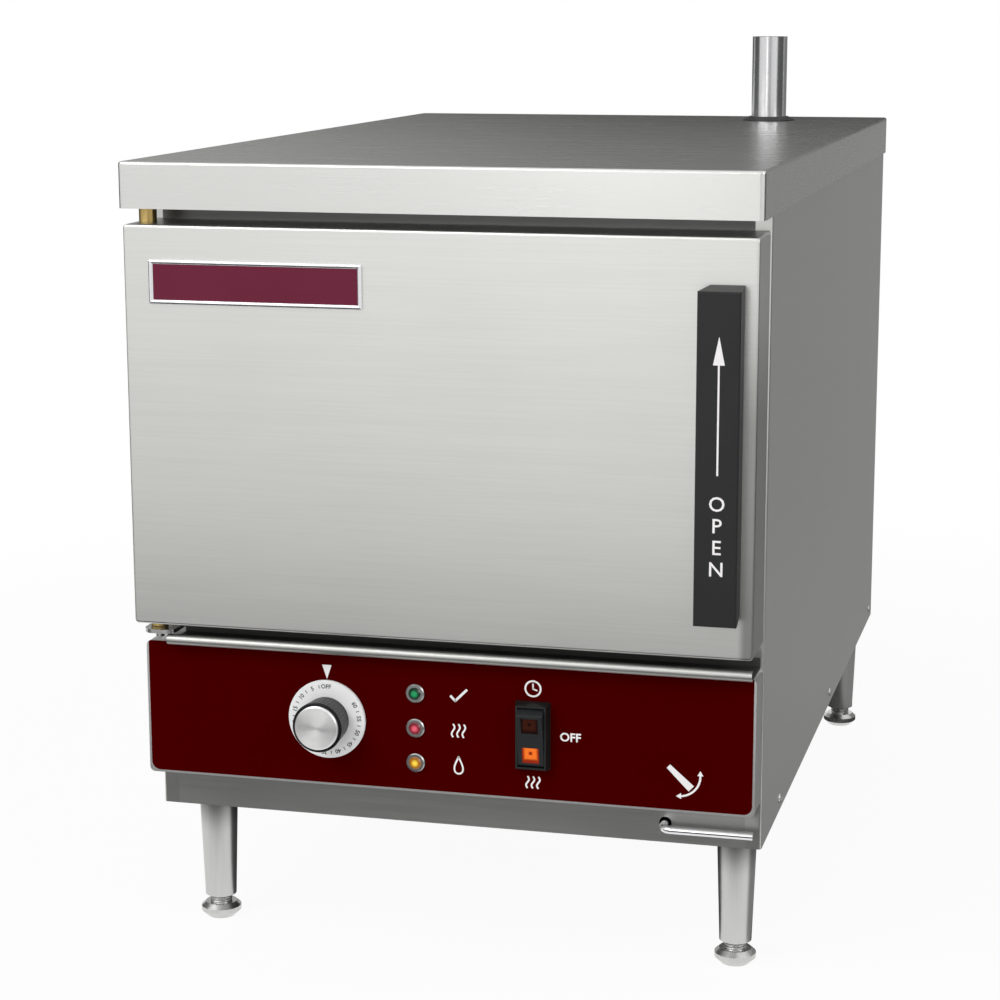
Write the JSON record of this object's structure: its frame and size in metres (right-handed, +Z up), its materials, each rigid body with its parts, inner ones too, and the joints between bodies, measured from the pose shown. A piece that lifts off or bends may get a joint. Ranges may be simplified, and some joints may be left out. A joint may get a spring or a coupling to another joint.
{
  "type": "convection steamer",
  "caption": "Countertop convection steamer with a side-hinged door, pull-up latch handle, timer, signal lamps, rocker switch, drain lever, roof vent and adjustable legs.",
  "frame": {"origin": "on the floor under the middle of the overall box", "axes": "+Z up, +Y from the door towards the back, +X to the right as seen from the front"},
  "size_m": [0.461, 0.8216, 0.67],
  "materials": {
    "case_steel": "brushed, satin",
    "cover_steel": "brushed, satin",
    "door_steel": "brushed, satin",
    "cavity_steel": "rolled, satin",
    "leg_steel": "turned, satin",
    "bright_chrome": "polished",
    "black_plastic": "moulded, satin",
    "switch_plastic": "gloss",
    "panel_print": "printed film, gloss",
    "plate_print": "enamel field in a bright frame",
    "hinge_brass": "turned",
    "seal_rubber": "silicone, matt",
    "wool": "mineral wool",
    "motor_paint": "enamel",
    "heater_cast": "as cast",
    "dial_metal": "printed, satin",
    "cap_metal": "spun",
    "lens_green": "translucent",
    "lens_red": "translucent",
    "lens_amber": "translucent",
    "window_plastic": "translucent"
  },
  "bodies": {
    "case": {"top_cover": "cover_steel", "left_side_panel": "case_steel", "right_side_panel": "case_steel", "back_panel": "case_steel", "base_pan": "case_steel", "front_frame": "case_steel", "cavity_liner": "cavity_steel", "cavity_insulation": "wool", "left_pan_rack": "cavity_steel", "right_pan_rack": "cavity_steel", "fan_baffle": "cavity_steel", "fan_motor": "motor_paint", "vent_pipe": "bright_chrome", "vent_collar": "black_plastic", "reservoir_heater": "heater_cast", "cavity_probes": "hinge_brass", "drain_valve_body": "hinge_brass", "drain_inlet_tube": "leg_steel", "drain_pipe": "leg_steel", "control_panel": "case_steel", "panel_overlay": "panel_print", "timer_body": "black_plastic", "lamp_bezels": "bright_chrome", "green_lens": "lens_green", "red_lens": "lens_red", "amber_lens": "lens_amber", "switch_bezel": "switch_plastic", "drip_gutter": "case_steel", "upper_hinge_bracket": "leg_steel", "lower_hinge_bracket": "leg_steel", "latch_strike": "leg_steel", "supply_gland": "black_plastic", "contactor": "black_plastic", "front_left_leg": "leg_steel", "front_right_leg": "leg_steel", "back_left_leg": "leg_steel", "back_right_leg": "leg_steel"},
    "door": {"door_outer_skin": "door_steel", "door_inner_panel": "cavity_steel", "door_gasket": "seal_rubber", "door_insulation": "wool", "hinge_bushes": "hinge_brass", "nameplate": "plate_print", "latch_spring": "leg_steel"},
    "latch": {"door_handle": "black_plastic", "latch_slide": "leg_steel"},
    "fan": {"fan_wheel": "cavity_steel", "fan_shaft": "leg_steel"},
    "drain_cock": {"drain_plug": "hinge_brass", "drain_handle": "bright_chrome"},
    "timer": {"timer_shaft": "leg_steel", "timer_dial": "dial_metal", "timer_knob": "black_plastic", "knob_cap": "cap_metal"},
    "switch": {"switch_rocker": "switch_plastic", "rocker_windows": "window_plastic"},
    "front_left_foot": {"front_left_foot": "leg_steel"},
    "front_right_foot": {"front_right_foot": "leg_steel"},
    "back_left_foot": {"back_left_foot": "leg_steel"},
    "back_right_foot": {"back_right_foot": "leg_steel"}
  },
  "joints": [
    {"name": "door_swing", "type": "hinge", "parent": "case", "child": "door", "pos_m": [-0.217, -0.37125, 0.4035], "axis": [0, 0, -1], "range_deg": [0, 180]},
    {"name": "handle_lift", "type": "slide", "parent": "door", "child": "latch", "axis": [0, 0, 1], "range_m": [0, 0.012], "stiffness_N_per_m": 400, "springref_m": -0.005, "deforming": ["latch_spring"]},
    {"name": "fan_spin", "type": "hinge", "parent": "case", "child": "fan", "pos_m": [0, 0.21325, 0.41], "axis": [0, 1, 0], "continuous": true},
    {"name": "drain_turn", "type": "hinge", "parent": "case", "child": "drain_cock", "pos_m": [0.1587, -0.25425, 0.1207], "axis": [0, 1, 0], "range_deg": [0, 90]},
    {"name": "timer_turn", "type": "hinge", "parent": "case", "child": "timer", "pos_m": [-0.0873, -0.37275, 0.1895], "axis": [0, 1, 0], "range_deg": [0, 300]},
    {"name": "rocker_tilt", "type": "hinge", "parent": "case", "child": "switch", "pos_m": [0.0671, -0.37275, 0.1879], "axis": [-1, 0, 0], "range_deg": [0, 20]},
    {"name": "front_left_level", "type": "slide", "parent": "case", "child": "front_left_foot", "axis": [0, 0, -1], "range_m": [0, 0.02]},
    {"name": "front_right_level", "type": "slide", "parent": "case", "child": "front_right_foot", "axis": [0, 0, -1], "range_m": [0, 0.02]},
    {"name": "back_left_level", "type": "slide", "parent": "case", "child": "back_left_foot", "axis": [0, 0, -1], "range_m": [0, 0.02]},
    {"name": "back_right_level", "type": "slide", "parent": "case", "child": "back_right_foot", "axis": [0, 0, -1], "range_m": [0, 0.02]}
  ]
}
